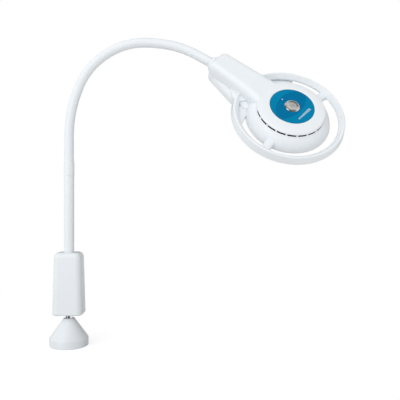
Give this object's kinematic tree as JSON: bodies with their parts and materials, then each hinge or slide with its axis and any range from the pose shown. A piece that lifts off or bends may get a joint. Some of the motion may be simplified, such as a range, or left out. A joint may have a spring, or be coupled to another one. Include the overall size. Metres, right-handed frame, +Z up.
{
  "type": "examination lamp",
  "caption": "Examination lamp on a flexible arm: round head with a grip ring, power button and LED window, a stem from a boxed driver housing, and a conical swivel foot.",
  "frame": {"origin": "centre of the foot's underside, on the axis of the pivot pin and stem", "axes": "+Z up along the stem, +X the way the arm reaches at rest, -Y the side that the head's control panel faces"},
  "size_m": [0.6283, 0.1893, 0.6753],
  "materials": {
    "white_plastic": "moulded cool white plastic, satin gloss",
    "white_paint": "cool white powder coat, satin",
    "arm_sleeve": "white flexible plastic sleeve with faint cross ribs",
    "nylon_white": "white moulded plastic, satin",
    "chrome": "bright chrome plate",
    "brushed_steel": "turned and brushed stainless steel",
    "zinc_steel": "zinc plated",
    "spring_steel": "dull spring steel",
    "cast_aluminium": "fine bead-blasted aluminium",
    "bronze": "sintered bronze",
    "nylon": "natural nylon",
    "rubber": "matt black rubber",
    "cable": "grey cable sheath",
    "circuit_board": "green solder mask",
    "led_board": "white solder mask",
    "component_black": "black moulded",
    "blue_panel": "two-tone blue printed foil, satin",
    "indicator": "clear white light guide",
    "led": "yellow phosphor",
    "clear_optic": "clear acrylic, polished",
    "window": "clear polycarbonate, fine frosted back"
  },
  "bodies": {
    "foot": {"foot_pad": "rubber", "foot_plate": "zinc_steel", "foot_cover": "white_plastic", "pivot_pin": "chrome", "pin_circlip": "spring_steel", "supply_lead": "cable"},
    "column": {"housing_shell": "white_plastic", "rear_cover": "white_plastic", "cover_screws": "zinc_steel", "chassis": "cast_aluminium", "pin_bushes": "bronze", "thrust_disc": "nylon", "brake_screw": "zinc_steel", "driver_board": "circuit_board", "driver_components": "component_black", "column_lead": "cable", "stem_tube": "white_paint", "stem_ferrule": "white_paint", "arm_root": "spring_steel", "arm_sleeve_0": "arm_sleeve"},
    "link_1": {"arm_link_1": "spring_steel", "arm_sleeve_1": "arm_sleeve"},
    "link_2": {"arm_link_2": "spring_steel", "arm_sleeve_2": "arm_sleeve"},
    "link_3": {"arm_link_3": "spring_steel", "arm_sleeve_3": "arm_sleeve"},
    "link_4": {"arm_link_4": "spring_steel", "arm_sleeve_4": "arm_sleeve"},
    "link_5": {"arm_link_5": "spring_steel", "arm_sleeve_5": "arm_sleeve"},
    "link_6": {"arm_link_6": "spring_steel", "arm_sleeve_6": "arm_sleeve"},
    "link_7": {"arm_link_7": "spring_steel", "arm_sleeve_7": "arm_sleeve"},
    "link_8": {"arm_link_8": "spring_steel", "arm_sleeve_8": "arm_sleeve", "knuckle_ball": "nylon_white"},
    "knuckle": {"tilt_cup": "cast_aluminium", "journal_nut": "zinc_steel"},
    "head": {"head_top_shell": "white_plastic", "head_lower_shell": "white_plastic", "grip_ring": "white_plastic", "neck_bulkhead": "cast_aluminium", "control_panel": "blue_panel", "indicator_lens": "indicator", "button_bezel": "brushed_steel", "switch_body": "component_black", "button_spring": "spring_steel", "control_board": "circuit_board", "heat_sink": "cast_aluminium", "led_board": "led_board", "leds": "led", "lenses": "clear_optic", "front_window": "window", "window_ring": "white_plastic", "vent_screen": "component_black", "shell_screws": "zinc_steel", "sink_screws": "zinc_steel", "head_lead": "cable"},
    "button": {"power_button": "brushed_steel"}
  },
  "joints": [
    {"name": "base_swivel", "type": "hinge", "parent": "foot", "child": "column", "pos_m": [0, 0, 0.1], "axis": [0, 0, 1], "range_deg": [-170, 170]},
    {"name": "lower_bend", "type": "hinge", "parent": "column", "child": "link_1", "pos_m": [0, 0, 0.459], "axis": [-0.002, 1, 0.002], "range_deg": [-14, 8], "stiffness_Nm_per_rad": 20, "springref_deg": -13.41},
    {"name": "lower_bend_2", "type": "hinge", "parent": "link_1", "child": "link_2", "pos_m": [0.00616, 0, 0.51757], "axis": [-0.002, 1, 0.002], "range_deg": [-14, 8], "stiffness_Nm_per_rad": 20, "springref_deg": -13.2},
    {"name": "side_bend", "type": "hinge", "parent": "link_2", "child": "link_3", "pos_m": [0.02435, 0, 0.57358], "axis": [0.9127, 0.0027, -0.4086], "range_deg": [-12, 12], "stiffness_Nm_per_rad": 20, "springref_deg": -1.68},
    {"name": "lower_bend_3", "type": "hinge", "parent": "link_3", "child": "link_4", "pos_m": [0.05839, 0, 0.62129], "axis": [-0.002, 1, 0.002], "range_deg": [-14, 8], "stiffness_Nm_per_rad": 18, "springref_deg": -12.66},
    {"name": "upper_bend", "type": "hinge", "parent": "link_4", "child": "link_5", "pos_m": [0.10762, 0, 0.65326], "axis": [-0.002, 1, 0.002], "range_deg": [-14, 8], "stiffness_Nm_per_rad": 18, "springref_deg": -10.86},
    {"name": "side_bend_2", "type": "hinge", "parent": "link_5", "child": "link_6", "pos_m": [0.16505, 0, 0.66495], "axis": [-0.002, 0.002, -1], "range_deg": [-12, 12], "stiffness_Nm_per_rad": 15},
    {"name": "upper_bend_2", "type": "hinge", "parent": "link_6", "child": "link_7", "pos_m": [0.22347, -0.00256, 0.65828], "axis": [0.0844, 0.9964, -0.008], "range_deg": [-14, 8], "stiffness_Nm_per_rad": 15, "springref_deg": -8.36},
    {"name": "upper_bend_3", "type": "hinge", "parent": "link_7", "child": "link_8", "pos_m": [0.27765, -0.01004, 0.6368], "axis": [0.1645, 0.9856, -0.04], "range_deg": [-14, 8], "stiffness_Nm_per_rad": 12, "springref_deg": -7.86},
    {"name": "head_tilt", "type": "hinge", "parent": "link_8", "child": "knuckle", "pos_m": [0.32303, -0.02136, 0.60793], "axis": [0.36, 0.933, 0], "range_deg": [-18, 18], "stiffness_Nm_per_rad": 10, "springref_deg": -6.7},
    {"name": "head_swivel", "type": "hinge", "parent": "knuckle", "child": "head", "pos_m": [0.32303, -0.02136, 0.60793], "axis": [0.7451, -0.2875, -0.6018], "range_deg": [-138.7, 41.3]},
    {"name": "button_press", "type": "slide", "parent": "head", "child": "button", "axis": [-0.1001, 0.8439, -0.5271], "range_m": [0, 0.0015], "stiffness_N_per_m": 900, "springref_m": -0.002}
  ],
  "couplings": [
    {"joint": "lower_bend_2", "follows": "lower_bend", "ratio": 1},
    {"joint": "lower_bend_3", "follows": "lower_bend", "ratio": 1},
    {"joint": "upper_bend_2", "follows": "upper_bend", "ratio": 1},
    {"joint": "upper_bend_3", "follows": "upper_bend", "ratio": 1},
    {"joint": "side_bend_2", "follows": "side_bend", "ratio": 1}
  ]
}
